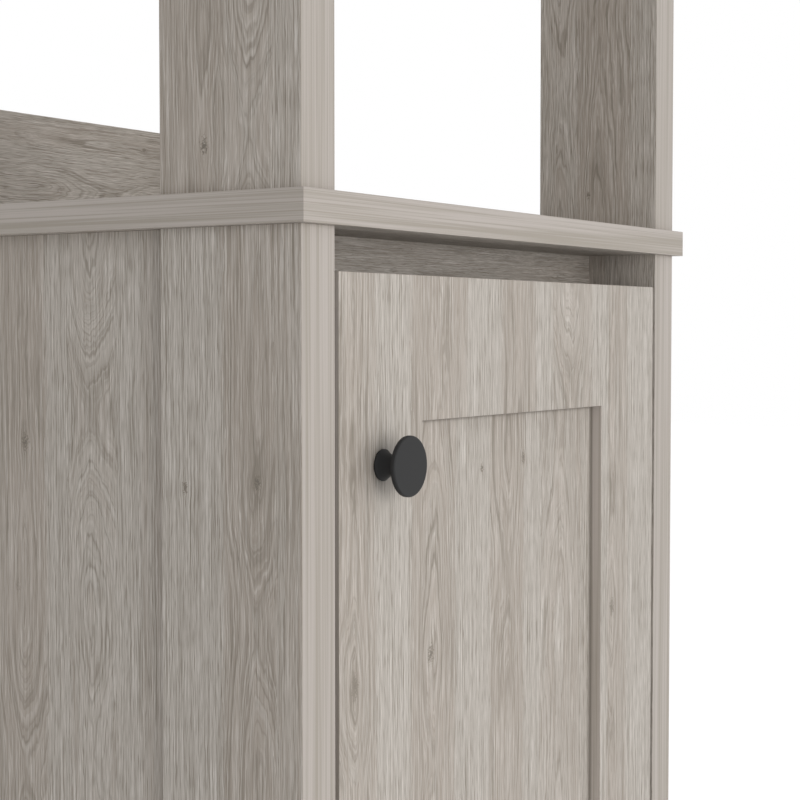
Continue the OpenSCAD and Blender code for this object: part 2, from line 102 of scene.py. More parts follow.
# The print of the boards that show most, in the cabinet's own millimetres across and up:
# strips, each with its start across, its heart, its tone from cool to warm, and how deep its rings are cut;
# figures, each with the heart it lies on, its height, half its length, and how far it changes the depth;
# knots, each with its place across, its height, its radius and how dark it is
PRINTS = {
    "side_panel_left": {
        "strips": [(-110, -150, 0.50, 0), (-94, -120, 0.15, 0), (-77, -60, 0.35, 2), (-47, -80, 0.20, 0),
                   (-32, -16, 0.90, 5), (3, -20, 0.15, 0), (29, 46, 0.75, 5), (62, 40, 0.25, 0),
                   (92, 106, 0.60, 4)],
        "figures": [(-60, 730, 42, 18), (-60, 680, 50, 8), (-60, 560, 40, 7), (-60, 400, 120, 16),
                    (-16, 626, 34, -6), (-16, 545, 40, 9), (-16, 330, 110, 16), (46, 600, 90, 16),
                    (106, 480, 80, 14)],
        "knots": [(-17.3, 704, 1.9, 0.9), (-12, 632, 1.2, 0.35)],
    },
    "lower_post_front_left": {
        "strips": [(-190, -215, 0.60, 0), (-175, -164, 0.95, 5.5), (-146, -190, 0.05, 0)],
        "figures": [(-164, 625, 38, 11), (-164, 440, 80, 13), (-164, 200, 90, 15)],
        "knots": [(-164.9, 691, 1.6, 1.0), (-123.5, 687, 1.3, 0.85)],
    },
    "upper_post_front_left": {
        "strips": [(-190, -215, 0.40, 0), (-173, -160, 0.60, 3), (-146, -134, 1.0, 6)],
        "figures": [(-160, 846, 36, 14), (-160, 1100, 110, 16), (-134, 897, 24, -4), (-134, 1200, 100, 15)],
        "knots": [(-135.6, 841, 1.9, 0.95)],
    },
    "upper_post_front_right": {
        "strips": [(-190, -215, 0.30, 0), (-172, -150, 0.80, 3), (-136, -123, 0.40, 2)],
        "figures": [(-123, 900, 55, 9), (-150, 940, 60, 8), (-150, 1180, 90, 12), (-123, 1250, 110, 14)],
        "knots": [(-143.4, 843, 1.1, 0.8)],
    },
    "counter_back_rail": {
        "strips": [(810, 800, 0.45, 0), (838, 853, 0.25, 3), (868, 855, 0.05, 0), (881, 887, 0.50, 3),
                   (895, 870, 0.25, 0)],
        "figures": [(853, 92, 40, 14), (853, -80, 60, 12), (887, -60, 80, 10)],
        "knots": [(886, 127, 1.3, 0.6)],
    },
    "door_leaf": {
        "strips": [(-168, -154.6, 0.70, 10), (-137, -175, 0.10, 0), (-107, -130, 0.95, 0),
                   (-90, -74, 0.80, 3), (-55, -90, 0.10, 0), (-20, 0, 1.0, 5), (16, -10, 0.10, 0),
                   (36, 60, 0.60, 3), (84, 190, 0.20, 0), (105, 112, 0.75, 8), (131, 100, 0.10, 0)],
        "figures": [(-154.6, 596, 24, -11), (-154.6, 350, 90, -9), (-74, 765, 100, 17), (-74, 598, 16, -2),
                    (-74, 545, 20, 5), (-74, 380, 90, 15), (0, 690, 22, -4), (0, 630, 40, 7),
                    (0, 540, 50, -4), (0, 300, 110, 14), (60, 712, 48, 17), (60, 640, 60, 9),
                    (60, 535, 34, 7), (60, 330, 100, 17), (112, 596, 24, -8), (112, 300, 90, 9)],
        "knots": [(-154.6, 596, 2.4, 0.75), (-78, 598, 2.3, 0.85), (-50, 514, 2.4, 0.3),
                  (-28, 687, 1.2, 0.85), (16, 690, 1.6, 0.85), (112, 596, 2.6, 0.75)],
    },
}

# The noises of the print, drawn out along the grain: each one's width and length in millimetres, a shift that
# keeps it apart from the others, and its detail
STREAKS = {
    "sway": (1, 70, 4.4, 1),
    "rough": (14, 55, 7.7, 2),
    "ripple": (4.5, 36, 3.1, 1),
    "wiggle": (1.6, 6, 5.1, 0),
    "ragged": (0.9, 22, 6.3, 1),
    "pace": (7, 1, 5.5, 0),
    "patch": (4, 40, 8.2, 1),
    "cloud": (4, 160, 13, 1),
    "depth": (1, 230, 0, 1),
    "line": (0.85, 110, 21, 1),
    "hair": (0.42, 60, 3, 1),
    "fleck": (0.46, 13, 2, 2),
    "broad band": (4.5, 500, 1.7, 1),
    "narrow band": (1.3, 300, 9.2, 1),
    "thin band": (0.45, 120, 4.6, 1),
}

# The fine streaks: the values that each starts and ends to darken the print at, how much it does so on cool
# and on warm oak, and the same for where it lightens the print
FINE_STREAKS = {
    "line": ((0.52, 0.28), (0.40, 0.40), (0.54, 0.72), (0.46, 0.30)),
    "hair": ((0.52, 0.30), (0.42, 0.42), (0.54, 0.70), (0.56, 0.56)),
    "fleck": ((0.52, 0.28), (0.50, 0.28), (0.54, 0.72), (0.74, 0.34)),
}

# How the rings of a strip are drawn: how far its heart wanders, how much closer they are on one side of it,
# how round their arches are from 1 to 2, how uneven their steps are, and how far single fibres shake them
SWAY = 3.6
LEAN = 0.25
ROUNDNESS = 1.55
PACE = 2.2
WIGGLE = 0.5

# How much the rings darken cool and warm oak, and how much a cloud darkens it
RING_SHADES = (0.18, 0.40)
CLOUD_SHADE = 0.12

# How far two strips reach into each other, and how far their print is shifted at most, in millimetres
RAGGED_EDGE = 9.0
GREATEST_SHIFT = 60.0

# The greatest depth that a strip of PRINTS can have, and what spreads the shifts of its strips
GREATEST_DEPTH = 50.0
FIRST_SHIFT = 0.13
SHIFT_STEP = 0.618

# How a knot is drawn: how much a distance along the grain counts, what is left of its halo at its radius, how
# far that pushes and darkens the grain, how broken its eye is, and how many millimetres its outline strays
KNOT_SQUEEZE = 0.55
HALO_LEFT = 0.84
HALO_PUSH = 0.60
HALO_SHADE = 0.12
EYE_BREAKS = 3.0
KNOT_STRAY = 2.0

# Painted shade in the fold of the door's recess, its width in millimetres and its strength as a share,
# and the darkest oak beside the deep grain, for the knots' cores and that painted shade
PAINTED_SHADE_WIDTH = 2.2
PAINTED_SHADE_STRENGTH = 0.80
DARKEST = 0.7

# How far a board's edge band reaches in and how near a face counts as on it, in millimetres, and how squarely
# the faces look away from the board
BAND = 0.6
NEAR = 0.1
FACE_NORMAL = 0.8

# The stage in metres: how far the floor reaches, and the lamps' places, size and aim
FLOOR_REACH = 12.0
LAMP_PLACES = {"left": (-1.25, -2.9, 1.0), "right": (1.2, -2.6, 1.0)}
LAMP_SIZE = (1.2, 1.6)
LAMPS_AIM = (0, 0, 0.8)
WHITE = (1, 1, 1, 1)


# Settings that a user would change

TINT = {"subtype": "COLOR", "min": 0, "max": 1}


class OakFinish(bpy.types.PropertyGroup):
    """Colours and figure of the grey oak laminate"""

    pale: bpy.props.FloatVectorProperty(
        name="Pale grain", description="Cool pale colour between the hearts of the grain",
        default=(0.504, 0.462, 0.416), **TINT)
    warm: bpy.props.FloatVectorProperty(
        name="Warm grain", description="Warmer colour along the hearts of the grain",
        default=(0.414, 0.361, 0.313), **TINT)
    deep: bpy.props.FloatVectorProperty(
        name="Deep grain", description="Colour of the dark lines and the knots",
        default=(0.235, 0.203, 0.165), **TINT)
    light: bpy.props.FloatVectorProperty(
        name="Light grain", description="Colour of the thin light lines",
        default=(0.630, 0.588, 0.544), **TINT)
    band_pale: bpy.props.FloatVectorProperty(
        name="Pale edge", description="Pale streaks of the edge band",
        default=(0.468, 0.422, 0.386), **TINT)
    band_deep: bpy.props.FloatVectorProperty(
        name="Deep edge", description="Darker streaks of the edge band",
        default=(0.352, 0.314, 0.268), **TINT)
    core: bpy.props.FloatVectorProperty(
        name="Board core", description="Chipboard inside the drilled holes",
        default=(0.330, 0.245, 0.155), **TINT)
    strip_pitch: bpy.props.FloatProperty(
        name="Strip pitch", description="Usual width of the strips that the print is laid in", unit="LENGTH",
        default=0.028)
    ring_pitch: bpy.props.FloatProperty(
        name="Ring pitch", description="Usual distance between the growth rings", unit="LENGTH",
        default=0.0038)
    roughness: bpy.props.FloatProperty(
        name="Roughness", description="Roughness of the laminate", subtype="FACTOR", min=0, max=1,
        default=0.55)


class EdgeShape(bpy.types.PropertyGroup):
    """How far the edges of the pieces are rounded"""

    board: bpy.props.FloatProperty(
        name="Board edges", description="Width of the rounding on the boards' edges", unit="LENGTH",
        default=0.0003)
    metal: bpy.props.FloatProperty(
        name="Metal edges", description="Width of the rounding on the fittings' edges", unit="LENGTH",
        default=0.00025)
    plastic: bpy.props.FloatProperty(
        name="Plastic edges", description="Width of the rounding on the plastic parts' edges", unit="LENGTH",
        default=0.0006)


class FittingFinish(bpy.types.PropertyGroup):
    """Colours of the knob, the fittings and the dowels"""

    knob: bpy.props.FloatVectorProperty(
        name="Knob", description="Black powder coat of the knob", default=(0.0323, 0.0323, 0.0326), **TINT)
    nickel: bpy.props.FloatVectorProperty(
        name="Nickel", description="Plated steel of hinges, screws and shelf pins",
        default=(0.66, 0.65, 0.63), **TINT)
    zinc: bpy.props.FloatVectorProperty(
        name="Zinc", description="Cast cam locks", default=(0.52, 0.53, 0.54), **TINT)
    beech: bpy.props.FloatVectorProperty(
        name="Beech", description="Dowels", default=(0.62, 0.43, 0.25), **TINT)
    pale_plastic: bpy.props.FloatVectorProperty(
        name="Pale plastic", description="Housing of the magnetic catch", default=(0.60, 0.60, 0.58), **TINT)
    black_plastic: bpy.props.FloatVectorProperty(
        name="Black plastic", description="Glides under the posts", default=(0.020, 0.020, 0.021), **TINT)
    magnet: bpy.props.FloatVectorProperty(
        name="Magnet", description="Ferrite magnet of the catch", default=(0.060, 0.058, 0.056), **TINT)
    hardboard: bpy.props.FloatVectorProperty(
        name="Hardboard", description="Bare rear face of the back panel",
        default=(0.270, 0.175, 0.100), **TINT)


class KnobShape(bpy.types.PropertyGroup):
    """Turned shape of the knob between its foot and its disc"""

    foot: bpy.props.FloatProperty(
        name="Foot diameter", description="Diameter of the foot on the door", unit="LENGTH", default=0.015)
    neck: bpy.props.FloatProperty(
        name="Neck diameter", description="Diameter of the neck behind the disc", unit="LENGTH",
        default=0.0078)
    disc: bpy.props.FloatProperty(
        name="Disc thickness", description="Thickness of the disc", unit="LENGTH", default=0.0023)
    rim: bpy.props.FloatProperty(
        name="Rim rounding", description="Radius of the disc's front edge. Its rear edge has half of that",
        unit="LENGTH", default=0.0008)
    flare: bpy.props.FloatProperty(
        name="Flare", description="How fast the foot narrows to the neck, where 1 is a cone", min=1,
        default=2.6)
    steps: bpy.props.IntProperty(
        name="Steps", description="Steps round the knob", min=24, max=256, default=96)


class StageSettings(bpy.types.PropertyGroup):
    """Camera, lamps and floor"""

    lens: bpy.props.FloatProperty(
        name="Lens", description="Focal length of the camera", subtype="DISTANCE_CAMERA", default=76.08)
    yaw: bpy.props.FloatProperty(
        name="Yaw", description="Turn of the camera from the cabinet's depth towards its right",
        subtype="ANGLE", default=math.radians(56.986))
    pitch: bpy.props.FloatProperty(
        name="Pitch", description="Tilt of the camera above the horizon", subtype="ANGLE",
        default=math.radians(-2.346))
    offset: bpy.props.FloatVectorProperty(
        name="Camera offset",
        description="Place of the camera from the front left post's corner at the counter's top",
        subtype="XYZ", unit="LENGTH", default=(-0.59010, -0.43417, -0.06163))
    sky: bpy.props.FloatProperty(name="Sky", description="Strength of the even light", min=0, default=0.56)
    left_lamp: bpy.props.FloatProperty(
        name="Left lamp", description="Power of the large lamp in front on the left", min=0, default=33.2)
    right_lamp: bpy.props.FloatProperty(
        name="Right lamp", description="Power of the large lamp in front on the right", min=0, default=10.0)
    floor: bpy.props.FloatVectorProperty(
        name="Floor", description="Colour of the floor", default=(0.80, 0.80, 0.80), **TINT)
    glow: bpy.props.FloatProperty(
        name="Floor glow", description="Makes the floor white to the camera where nothing shades it",
        min=0, default=0.55)


# Node trees

class Tree:
    """A node tree that is filled in the order of the work, and answers each call with an output"""

    def __init__(self, tree):
        self.tree = tree

    def add(self, kind, inputs=(), **settings):
        node = self.tree.nodes.new(kind)
        for name, value in settings.items():
            setattr(node, name, value)
        for key, value in dict(inputs).items():
            self.feed(node.inputs[key], value)
        return node

    def feed(self, socket, value):
        if isinstance(value, bpy.types.NodeSocket):
            self.tree.links.new(value, socket)
        else:
            socket.default_value = value

    def math(self, operation, *values):
        return self.add("ShaderNodeMath", enumerate(values), operation=operation).outputs[0]

    def vector(self, operation, *values):
        return self.add("ShaderNodeVectorMath", enumerate(values), operation=operation).outputs[0]

    def length(self, vector):
        return self.add("ShaderNodeVectorMath", {0: vector}, operation="LENGTH").outputs["Value"]

    def split(self, vector):
        return self.add("ShaderNodeSeparateXYZ", {"Vector": vector}).outputs

    def join(self, x, y, z=0.0):
        return self.add("ShaderNodeCombineXYZ", {"X": x, "Y": y, "Z": z}).outputs[0]

    def coordinate(self, kind):
        return self.add("ShaderNodeTexCoord").outputs[kind]

    def mapped(self, vector, **settings):
        return self.add("ShaderNodeMapping", {"Vector": vector, **settings}).outputs[0]

    def bump(self, height, strength, distance):
        inputs = {"Height": height, "Strength": strength, "Distance": distance}
        return self.add("ShaderNodeBump", inputs).outputs[0]

    def noise(self, vector, detail=0.0, roughness=0.5, flat=True):
        inputs = {"Vector": vector, "Scale": 1.0, "Detail": detail, "Roughness": roughness}
        return self.add("ShaderNodeTexNoise", inputs, noise_dimensions="2D" if flat else "3D").outputs[0]

    def streak(self, across, along, name):
        """One of the streaks of the print, from 0 to 1 round 0.5"""
        width, length, shift, detail = STREAKS[name]
        x = self.math("MULTIPLY_ADD", across, 1 / width, shift)
        y = self.math("MULTIPLY_ADD", along, 1 / length, shift)
        return self.noise(self.join(x, y), detail)

    def swing(self, across, along, name):
        """One of the streaks of the print, as it swings to both sides of 0"""
        return self.math("SUBTRACT", self.streak(across, along, name), 0.5)

    def ramp(self, value, low, high, start=0.0, end=1.0):
        return self.add("ShaderNodeMapRange", enumerate((value, low, high, start, end)),
                        interpolation_type="SMOOTHSTEP").outputs[0]

    def table(self, value, rows):
        """Looks up a value from 0 to 1 in rows of a start and four numbers. Each row holds up to the next"""
        node = self.add("ShaderNodeValToRGB", {"Fac": value})
        ramp = node.color_ramp
        ramp.interpolation = "CONSTANT"
        ramp.elements.remove(ramp.elements[-1])
        for index, (start, numbers) in enumerate(rows):
            row = ramp.elements.new(start) if index else ramp.elements[0]
            row.color = numbers
        return node.outputs

    def blend(self, factor, first, second):
        node = self.add("ShaderNodeMix", data_type="RGBA")
        for index, value in ((0, factor), (6, first), (7, second)):
            self.feed(node.inputs[index], value)
        return node.outputs[2]


def new_group(name, inputs, outputs):
    """An empty node group with its sockets: (name, kind) pairs, where kind is Float, Vector or Color"""
    group = bpy.data.node_groups.new(name, "ShaderNodeTree")
    for direction, sockets in (("INPUT", inputs), ("OUTPUT", outputs)):
        for label, kind in sockets:
            group.interface.new_socket(label, in_out=direction, socket_type="NodeSocket" + kind)
    tree = Tree(group)
    return tree, tree.add("NodeGroupInput").outputs, tree.add("NodeGroupOutput").inputs


def rgba(colour, share=1.0):
    """A colour for a socket, at a share of its brightness"""
    return (*(share * part for part in colour), 1.0)


def new_material(name):
    """A material with its Principled shader, and its tree"""
    material = bpy.data.materials.new(name)
    material.use_nodes = True
    tree = Tree(material.node_tree)
    return material, tree, material.node_tree.nodes["Principled BSDF"]


def paint(shader, **values):
    """Sets constant values on the shader's own sockets"""
    for name, value in values.items():
        shader.inputs[name.replace("_", " ")].default_value = value


# Grey oak laminate

def build_knot_group():
    """One knot: how far the grain gives way beside it, and how dark it is, at a place in millimetres"""
    tree, given, made = new_group(
        "oak knot", [("Place", "Vector"), ("Centre", "Vector"), ("Radius", "Float"), ("Dark", "Float")],
        [("Push", "Float"), ("Dark", "Float")])
    away = tree.vector("SUBTRACT", given["Place"], given["Centre"])
    away = tree.vector("MULTIPLY", away, (1.0, KNOT_SQUEEZE, 0.0))
    distance = tree.math("DIVIDE", tree.length(away), given["Radius"])
    halo = tree.math("POWER", HALO_LEFT, tree.math("MULTIPLY", distance, distance))
    push = tree.math("MULTIPLY", tree.math("MULTIPLY", halo, HALO_PUSH), tree.split(away)[0])
    tree.feed(made["Push"], push)
    broken = tree.math("SUBTRACT", tree.noise(given["Place"], 2.0), 0.5)
    eye = tree.ramp(tree.math("MULTIPLY_ADD", broken, EYE_BREAKS, distance), 0.2, 1.4, 1.0, 0.0)
    dark = tree.math("MULTIPLY_ADD", halo, HALO_SHADE, eye)
    tree.feed(made["Dark"], tree.math("MULTIPLY", dark, given["Dark"]))
    return tree.tree


def build_figure_group():
    """One figure on the heart of a strip: how far it changes the depth that the rings are cut at"""
    tree, given, made = new_group(
        "oak figure", [("Along", "Float"), ("Heart", "Float"), ("Own heart", "Float"), ("Middle", "Float"),
                       ("Length", "Float"), ("Rise", "Float")], [("Depth", "Float")])
    away = tree.math("DIVIDE", tree.math("SUBTRACT", given["Along"], given["Middle"]), given["Length"])
    hill = tree.math("POWER", 0.5, tree.math("MULTIPLY", away, away))
    beside = tree.math("ABSOLUTE", tree.math("SUBTRACT", given["Heart"], given["Own heart"]))
    rise = tree.math("MULTIPLY", given["Rise"], tree.math("LESS_THAN", beside, 1.0))
    tree.feed(made["Depth"], tree.math("MULTIPLY", hill, rise))
    return tree.tree


def build_strip_group(oak):
    """The strips of a printed sheet: each has a heart, a tone and a depth of its own"""
    tree, given, made = new_group(
        "oak strips", [("Spot", "Vector")],
        [("Tone", "Float"), ("From heart", "Float"), ("Depth", "Float"), ("Shift", "Float")])
    across, along, _ = tree.split(given["Spot"])
    pitch = oak.strip_pitch / MM
    strip = tree.add(
        "ShaderNodeTexVoronoi", {"W": tree.math("DIVIDE", across, pitch), "Scale": 1.0, "Randomness": 0.75},
        voronoi_dimensions="1D").outputs
    own = tree.add("ShaderNodeTexWhiteNoise", {"W": strip["W"]}, noise_dimensions="1D").outputs["Color"]
    own_tone, own_figure, own_shift = tree.split(own)
    shift = tree.math("MULTIPLY", own_shift, GREATEST_SHIFT)
    depth = tree.streak(shift, along, "depth")
    figure = tree.ramp(own_figure, 0.35, 0.85, 1.0, 17.0)
    tree.feed(made["Tone"], own_tone)
    tree.feed(made["From heart"], tree.math("MULTIPLY", strip["Distance"], pitch))
    tree.feed(made["Depth"], tree.math("MULTIPLY", tree.ramp(depth, 0.20, 0.80), figure))
    tree.feed(made["Shift"], shift)
    return tree.tree


def draw_rings(tree, given, across, along):
    """How far out on the rings a place lies, in millimetres from the heart, and how far fibres shake it. The
    rings are cut at a depth that changes along a strip, which draws its arches."""
    beside = tree.math("MULTIPLY_ADD", tree.swing(given["Shift"], along, "sway"), SWAY, given["From heart"])
    beside = tree.math("MULTIPLY_ADD", beside, LEAN, tree.math("ABSOLUTE", beside))
    uneven = tree.ramp(given["Depth"], 2.0, 8.0, 1.5, 5.0)
    depth = tree.math("MULTIPLY_ADD", tree.swing(across, along, "rough"), uneven, given["Depth"])
    sides = [tree.math("POWER", side, ROUNDNESS) for side in (beside, tree.math("ABSOLUTE", depth))]
    ring = tree.math("POWER", tree.math("ADD", *sides), 1 / ROUNDNESS)
    shaken = tree.ramp(given["Depth"], 0.0, 8.0, 0.4, 1.5)
    ripple = tree.math("MULTIPLY", tree.swing(across, along, "ripple"), shaken)
    ripple = tree.math("MULTIPLY_ADD", tree.swing(across, along, "wiggle"), WIGGLE, ripple)
    return tree.math("ADD", tree.math("ADD", ripple, ring), given["Shift"]), ripple


def shade_rings(tree, oak, ring, along):
    """How dark the rings are: each starts dark and fades to pale, and shows only in patches"""
    pace = tree.math("MULTIPLY", ring, MM / oak.ring_pitch)
    pace = tree.math("MULTIPLY_ADD", tree.streak(ring, 0.0, "pace"), PACE, pace)
    year = tree.ramp(tree.math("PINGPONG", pace, 0.5), 0.0, 0.34, 1.0, 0.0)
    return tree.math("MULTIPLY", year, tree.ramp(tree.streak(ring, along, "patch"), 0.36, 0.64))


def draw_streaks(tree, lines, along, warmth, shade):
    """Adds the fine streaks to how dark the print is, and answers how far they lighten it too"""
    gleam = 0.0
    for name, line in lines.items():
        streak = tree.streak(line, along, name)
        darkens, shades, lightens, gleams = FINE_STREAKS[name]
        shades, gleams = [tree.ramp(warmth, 0.0, 1.0, *amounts) for amounts in (shades, gleams)]
        shade = tree.math("MULTIPLY_ADD", tree.ramp(streak, *darkens), shades, shade)
        gleam = tree.math("MULTIPLY_ADD", tree.ramp(streak, *lightens), gleams, gleam)
    return shade, gleam


def build_grain_group(oak):
    """The printed oak face. Spot is a place on the sheet in millimetres, across and along its grain"""
    tree, given, made = new_group(
        "oak grain",
        [("Spot", "Vector"), ("Tone", "Float"), ("From heart", "Float"), ("Depth", "Float"),
         ("Shift", "Float"), ("Dark", "Float")],
        [("Color", "Color"), ("Height", "Float")])
    across, along, _ = tree.split(given["Spot"])
    ring, ripple = draw_rings(tree, given, across, along)
    cloud = tree.streak(ring, along, "cloud")

    # Each strip is cool and pale or warm
    tone = tree.math("ADD", tree.math("SUBTRACT", cloud, 0.5), given["Tone"])
    warmth = tree.ramp(tree.math("MULTIPLY_ADD", given["Dark"], 1.5, tone), 0.10, 0.90)
    colour = tree.blend(warmth, rgba(oak.pale), rgba(oak.warm))

    # Rings, fine streaks, clouds and knots darken it, and the fine streaks lighten it too
    fibre = tree.math("ADD", ripple, across)
    rings = shade_rings(tree, oak, ring, along)
    shade = tree.math("MULTIPLY", rings, tree.ramp(warmth, 0.0, 1.0, *RING_SHADES))
    lines = {"line": ring, "hair": fibre, "fleck": fibre}
    shade, gleam = draw_streaks(tree, lines, along, warmth, shade)
    shade = tree.math("MULTIPLY_ADD", tree.ramp(cloud, 0.55, 0.30), CLOUD_SHADE, shade)
    shade = tree.math("ADD", shade, given["Dark"])
    colour = tree.blend(gleam, colour, rgba(oak.light))
    colour = tree.blend(shade, colour, rgba(oak.deep))
    knot = tree.ramp(given["Dark"], 0.7, 1.1)
    tree.feed(made["Color"], tree.blend(knot, colour, rgba(oak.deep, DARKEST)))
    tree.feed(made["Height"], tree.math("SUBTRACT", 1.0, shade))
    return tree.tree


def build_edge_group(oak):
    """The smooth edge band, with soft streaks along the edge"""
    tree, given, made = new_group("oak edge band", [("Place", "Vector")], [("Color", "Color")])
    across, along, through = tree.split(given["Place"])
    length = tree.math("ADD", across, along)
    widths = ("broad", "narrow", "thin")
    broad, narrow, thin = [tree.streak(through, length, width + " band") for width in widths]
    mixed = tree.math("MULTIPLY_ADD", thin, 1.1, tree.math("ADD", narrow, broad))
    streaks = tree.ramp(mixed, 1.20, 1.92)
    tree.feed(made["Color"], tree.blend(streaks, rgba(oak.band_pale), rgba(oak.band_deep)))
    return tree.tree


def build_core_group(oak):
    """Chipboard, as it shows inside a drilled hole"""
    tree, given, made = new_group("board core", [("Place", "Vector")], [("Color", "Color")])
    chips = tree.ramp(tree.noise(given["Place"], 2.0, flat=False), 0.35, 0.65)
    tree.feed(made["Color"], tree.blend(chips, rgba(oak.core), rgba(oak.core, 0.55)))
    return tree.tree


def turned(across, along):
    """Angles that turn a board so that its X runs across the grain and its Y along it"""
    rows = Matrix((AXES[across], AXES[along], AXES[across].cross(AXES[along])))
    return rows.to_euler()


def board_material(node, across, along, sheet=(0, 0), wrapped=False, recessed=False):
    """The oak of one board. sheet is the place of its middle on the printed sheet in millimetres, unless
    PRINTS gives it a print of its own. The print wraps the edges too, or else they have a band."""
    oak = bpy.context.scene.cabinet_oak
    turn = turned(across, along)
    middle, half = middle_and_half(node, turn)
    material, tree, shader = new_material("oak " + node.replace("_", " "))
    place, normal = on_board(tree, turn, middle)
    if wrapped:
        place = unfold(tree, place, normal)
    if node in PRINTS:
        grain = own_print(tree, place, PRINTS[node], middle, abs(half.x))
    else:
        grain = sheet_print(tree, place, sheet)
    colour = grain["Color"]
    if recessed:
        recess = recess_corners(node, turn, middle)
        colour = edge_colour(tree, place, normal, half, colour, recess[0].z - NEAR)
        # Painted shade: the oak is darkened along the fold where the recess's walls meet its floor
        colour = painted_fold_shade(tree, place, recess, colour, oak)
    elif not wrapped:
        colour = edge_colour(tree, place, normal, half, colour, abs(half.z) + NEAR)
    tree.feed(shader.inputs["Base Color"], colour)
    tree.feed(shader.inputs["Normal"], tree.bump(grain["Height"], 0.25, 0.00012))
    paint(shader, Roughness=oak.roughness)
    return material


def middle_and_half(node, turn):
    """The middle of a solid's box and half its size, in the millimetres of its print"""
    low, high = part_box(node)
    return [turn.to_matrix() @ (part / MM) for part in ((low + high) / 2, (high - low) / 2)]


def on_board(tree, turn, middle):
    """A place in millimetres from a board's middle, and its normal. X runs across the grain, Y along it"""
    place = tree.mapped(tree.coordinate("Object"), Location=-middle, Rotation=turn, Scale=(1 / MM,) * 3)
    return place, tree.mapped(tree.coordinate("Normal"), Rotation=turn)


def unfold(tree, place, normal):
    """Lets a print run on over the edges: depth counts as distance where the surface turns away"""
    depth = tree.split(place)[2]
    turned_away = tree.split(tree.vector("ABSOLUTE", normal))
    across, along, _ = [tree.math("MULTIPLY", part, depth) for part in turned_away]
    return tree.vector("ADD", place, tree.join(across, along))


def fill(tree, group, **values):
    """Adds a node group with its inputs filled, and answers its outputs"""
    node = tree.add("ShaderNodeGroup", node_tree=bpy.data.node_groups[group])
    for name, value in values.items():
        tree.feed(node.inputs[name.replace("_", " ")], value)
    return node.outputs


def ragged(tree, place):
    """Distance across the grain, shaken by single fibres, so that two strips meet in a ragged line"""
    across, along, _ = tree.split(place)
    return tree.math("MULTIPLY_ADD", tree.swing(across, along, "ragged"), RAGGED_EDGE, across)


def sheet_print(tree, place, sheet):
    """The grain of a board that is cut anywhere out of the printed sheet"""
    spot = tree.vector("ADD", place, (*sheet, 0))
    strips = fill(tree, "oak strips", Spot=tree.join(ragged(tree, spot), tree.split(spot)[1]))
    return fill(tree, "oak grain", Spot=spot, Dark=0.0, Tone=strips["Tone"], From_heart=strips["From heart"],
                Depth=strips["Depth"], Shift=strips["Shift"])


def own_strips(tree, place, strips, middle, wide):
    """Tone, heart, depth and shift of the strip that a place lies in. A table holds them all from 0 to 1"""
    rows = []
    for index, (start, heart, tone, depth) in enumerate(strips):
        shift = (SHIFT_STEP * index + FIRST_SHIFT) % 1.0
        heart = 0.5 + (heart - middle.x) / (4 * wide)
        start = max(0.0, (start - middle.x + wide) / (2 * wide))
        rows.append((start, (tone, heart, depth / GREATEST_DEPTH, shift)))
    row = tree.table(tree.math("MULTIPLY_ADD", ragged(tree, place), 1 / (2 * wide), 0.5), rows)
    tone, heart, depth = tree.add("ShaderNodeSeparateColor", {"Color": row["Color"]}).outputs
    heart = tree.math("MULTIPLY_ADD", heart, 4 * wide, -2 * wide)
    depth = tree.math("MULTIPLY", depth, GREATEST_DEPTH)
    return tone, heart, depth, tree.math("MULTIPLY", row["Alpha"], GREATEST_SHIFT)


def own_print(tree, place, layout, middle, wide):
    """The grain of a board with its own strips, figures and knots. wide is half the board's breadth"""
    across, along, _ = tree.split(place)
    tone, heart, depth, shift = own_strips(tree, place, layout["strips"], middle, wide)
    for on_heart, height, length, rise in layout["figures"]:
        change = fill(tree, "oak figure", Along=along, Heart=heart, Own_heart=on_heart - middle.x,
                      Middle=height - middle.y, Length=length, Rise=rise)
        depth = tree.math("ADD", change["Depth"], depth)
    stray = tree.add("ShaderNodeTexNoise", {"Vector": place, "Scale": 0.5, "Detail": 2.0}).outputs["Color"]
    rough = tree.vector("MULTIPLY_ADD", stray, (KNOT_STRAY, KNOT_STRAY, 0.0), place)
    dark = 0.0
    for at, height, radius, strength in layout["knots"]:
        centre = (at - middle.x + KNOT_STRAY / 2, height - middle.y + KNOT_STRAY / 2, 0)
        knot = fill(tree, "oak knot", Place=rough, Centre=centre, Radius=radius, Dark=strength)
        across = tree.math("SUBTRACT", across, knot["Push"])
        dark = tree.math("ADD", knot["Dark"], dark)
    return fill(tree, "oak grain", Spot=tree.join(across, along), Tone=tone, Depth=depth, Shift=shift,
                From_heart=tree.math("SUBTRACT", across, heart), Dark=dark)


def box_round(points):
    """The lowest and the highest corner of the box round some points"""
    return [Vector(pick(point[i] for point in points) for i in range(3)) for pick in (min, max)]


def recess_corners(node, turn, middle):
    """The lowest and highest corner of the floor of a board's recess, in the millimetres of its print"""
    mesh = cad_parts[node].data
    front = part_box(node)[0].y
    floor = [face for face in mesh.polygons if -face.normal.y > FACE_NORMAL and face.center.y > front + MM]
    points = [mesh.vertices[index].co for face in floor for index in face.vertices]
    return box_round([turn.to_matrix() @ (point / MM) - middle for point in points])


def painted_fold_shade(tree, place, corners, face, oak):
    """The face's colour, with painted shade in the fold where the recess's walls meet its floor"""
    low, high = corners
    away = tree.vector("ABSOLUTE", tree.vector("SUBTRACT", place, (low + high) / 2))
    away = tree.vector("ABSOLUTE", tree.vector("SUBTRACT", away, (high - low) / 2))
    across, along, above = tree.split(away)
    distance = tree.length(tree.join(tree.math("MINIMUM", across, along), above))
    # Painted shade: the oak turns darker near the line where the recess's walls meet its floor
    return tree.blend(tree.ramp(distance, 0.0, PAINTED_SHADE_WIDTH, PAINTED_SHADE_STRENGTH, 0.0), face, rgba(oak.deep, DARKEST))


